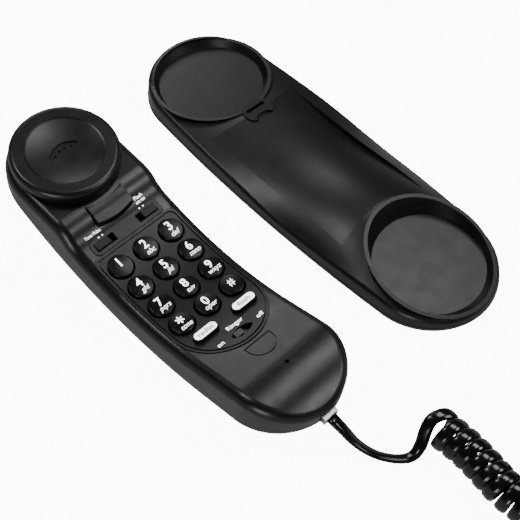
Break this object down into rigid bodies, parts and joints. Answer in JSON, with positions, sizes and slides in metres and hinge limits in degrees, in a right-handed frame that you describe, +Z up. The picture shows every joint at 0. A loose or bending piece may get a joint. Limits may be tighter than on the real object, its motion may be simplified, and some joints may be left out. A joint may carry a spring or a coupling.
{
  "type": "corded landline phone",
  "caption": "Slim corded phone with a keypad handset lying beside its cradle base, and a curly line cord.",
  "frame": {"origin": "middle of the footprint of base and handset, on the table", "axes": "+Z up, +Y along the base towards its upper (ear) well, +X from the handset towards the base"},
  "size_m": [0.1636, 0.3629, 0.0506],
  "materials": {
    "base_plastic": "satin moulded black",
    "plate_plastic": "satin dark grey",
    "handset_plastic": "satin moulded black",
    "bezel_plastic": "satin black",
    "key_plastic": "satin black with white legends",
    "white_plastic": "white inserts with dark words",
    "steel": "zinc plated",
    "black_rubber": "matte",
    "grey_rubber": "matte",
    "board_green": "solder mask",
    "inner_plastic": "moulded",
    "dark_metal": "stamped",
    "felt": "felt",
    "brass": "piezo disc",
    "clear_plastic": "clear polycarbonate",
    "cord_vinyl": "glossy black vinyl"
  },
  "bodies": {
    "base": {"base_cover": "base_plastic", "base_bottom_plate": "plate_plastic", "base_weight": "steel", "rubber_feet": "black_rubber", "base_screws": "steel", "cord_lead": "cord_vinyl", "line_plug": "clear_plastic"},
    "hook_clip": {"hook_clip": "base_plastic"},
    "handset": {"handset_face_shell": "handset_plastic", "handset_back_shell": "handset_plastic", "ear_cap": "handset_plastic", "keypad_bezel": "bezel_plastic", "switch_strip": "bezel_plastic", "ear_speaker": "dark_metal", "speaker_felt": "felt", "keypad_rubber_sheet": "grey_rubber", "main_circuit_board": "board_green", "tone_pulse_switch": "inner_plastic", "flash_time_switch": "inner_plastic", "ringer_switch": "inner_plastic", "hook_switch": "inner_plastic", "microphone": "dark_metal", "microphone_boot": "grey_rubber", "ringer_disc": "brass", "handset_weight": "steel", "line_jack": "inner_plastic", "handset_screws": "steel", "handset_plug": "clear_plastic", "cord_tail": "cord_vinyl", "curly_cord": "cord_vinyl"},
    "key_1": {"key_1": "key_plastic"},
    "key_2": {"key_2": "key_plastic"},
    "key_3": {"key_3": "key_plastic"},
    "key_4": {"key_4": "key_plastic"},
    "key_5": {"key_5": "key_plastic"},
    "key_6": {"key_6": "key_plastic"},
    "key_7": {"key_7": "key_plastic"},
    "key_8": {"key_8": "key_plastic"},
    "key_9": {"key_9": "key_plastic"},
    "key_star": {"key_star": "key_plastic"},
    "key_0": {"key_0": "key_plastic"},
    "key_hash": {"key_hash": "key_plastic"},
    "redial_key": {"redial_key": "key_plastic", "redial_key_insert": "white_plastic"},
    "flash_key": {"flash_key": "key_plastic", "flash_key_insert": "white_plastic"},
    "hook_paddle": {"hook_paddle": "key_plastic"},
    "tone_pulse_knob": {"tone_pulse_knob": "key_plastic"},
    "flash_time_knob": {"flash_time_knob": "key_plastic"},
    "ringer_knob": {"ringer_knob": "key_plastic"}
  },
  "joints": [
    {"name": "handset_lift", "type": "slide", "parent": "base", "child": "handset", "axis": [0, 0, 1], "range_m": [0, 0.08]},
    {"name": "hook_clip_slide", "type": "slide", "parent": "base", "child": "hook_clip", "axis": [0, 0, 1], "range_m": [0, 0.011]},
    {"name": "key_1_press", "type": "slide", "parent": "handset", "child": "key_1", "axis": [-0.0085, 0.2084, -0.978], "range_m": [0, 0.001], "stiffness_N_per_m": 700, "springref_m": -0.0003},
    {"name": "key_2_press", "type": "slide", "parent": "handset", "child": "key_2", "axis": [-0.0085, 0.2084, -0.978], "range_m": [0, 0.001], "stiffness_N_per_m": 700, "springref_m": -0.0003},
    {"name": "key_3_press", "type": "slide", "parent": "handset", "child": "key_3", "axis": [-0.0085, 0.2084, -0.978], "range_m": [0, 0.001], "stiffness_N_per_m": 700, "springref_m": -0.0003},
    {"name": "key_4_press", "type": "slide", "parent": "handset", "child": "key_4", "axis": [-0.0047, 0.114, -0.9935], "range_m": [0, 0.001], "stiffness_N_per_m": 700, "springref_m": -0.0003},
    {"name": "key_5_press", "type": "slide", "parent": "handset", "child": "key_5", "axis": [-0.0047, 0.114, -0.9935], "range_m": [0, 0.001], "stiffness_N_per_m": 700, "springref_m": -0.0003},
    {"name": "key_6_press", "type": "slide", "parent": "handset", "child": "key_6", "axis": [-0.0047, 0.114, -0.9935], "range_m": [0, 0.001], "stiffness_N_per_m": 700, "springref_m": -0.0003},
    {"name": "key_7_press", "type": "slide", "parent": "handset", "child": "key_7", "axis": [-0.0008, 0.0184, -0.9998], "range_m": [0, 0.001], "stiffness_N_per_m": 700, "springref_m": -0.0003},
    {"name": "key_8_press", "type": "slide", "parent": "handset", "child": "key_8", "axis": [-0.0008, 0.0184, -0.9998], "range_m": [0, 0.001], "stiffness_N_per_m": 700, "springref_m": -0.0003},
    {"name": "key_9_press", "type": "slide", "parent": "handset", "child": "key_9", "axis": [-0.0008, 0.0184, -0.9998], "range_m": [0, 0.001], "stiffness_N_per_m": 700, "springref_m": -0.0003},
    {"name": "key_star_press", "type": "slide", "parent": "handset", "child": "key_star", "axis": [0.0032, -0.0784, -0.9969], "range_m": [0, 0.001], "stiffness_N_per_m": 700, "springref_m": -0.0003},
    {"name": "key_0_press", "type": "slide", "parent": "handset", "child": "key_0", "axis": [0.0032, -0.0784, -0.9969], "range_m": [0, 0.001], "stiffness_N_per_m": 700, "springref_m": -0.0003},
    {"name": "key_hash_press", "type": "slide", "parent": "handset", "child": "key_hash", "axis": [0.0032, -0.0784, -0.9969], "range_m": [0, 0.001], "stiffness_N_per_m": 700, "springref_m": -0.0003},
    {"name": "redial_key_press", "type": "slide", "parent": "handset", "child": "redial_key", "axis": [0.0065, -0.1585, -0.9873], "range_m": [0, 0.001], "stiffness_N_per_m": 700, "springref_m": -0.0003},
    {"name": "flash_key_press", "type": "slide", "parent": "handset", "child": "flash_key", "axis": [0.0065, -0.1585, -0.9873], "range_m": [0, 0.001], "stiffness_N_per_m": 700, "springref_m": -0.0003},
    {"name": "hook_paddle_press", "type": "slide", "parent": "handset", "child": "hook_paddle", "axis": [-0.0056, 0.1373, -0.9905], "range_m": [0, 0.0022], "stiffness_N_per_m": 200, "springref_m": -0.001},
    {"name": "tone_pulse_knob_slide", "type": "slide", "parent": "handset", "child": "tone_pulse_knob", "axis": [0.9992, 0.0408, 0], "range_m": [0, 0.003]},
    {"name": "flash_time_knob_slide", "type": "slide", "parent": "handset", "child": "flash_time_knob", "axis": [-0.9992, -0.0408, 0], "range_m": [0, 0.003]},
    {"name": "ringer_knob_slide", "type": "slide", "parent": "handset", "child": "ringer_knob", "axis": [0.9992, 0.0408, 0], "range_m": [0, 0.004]}
  ]
}
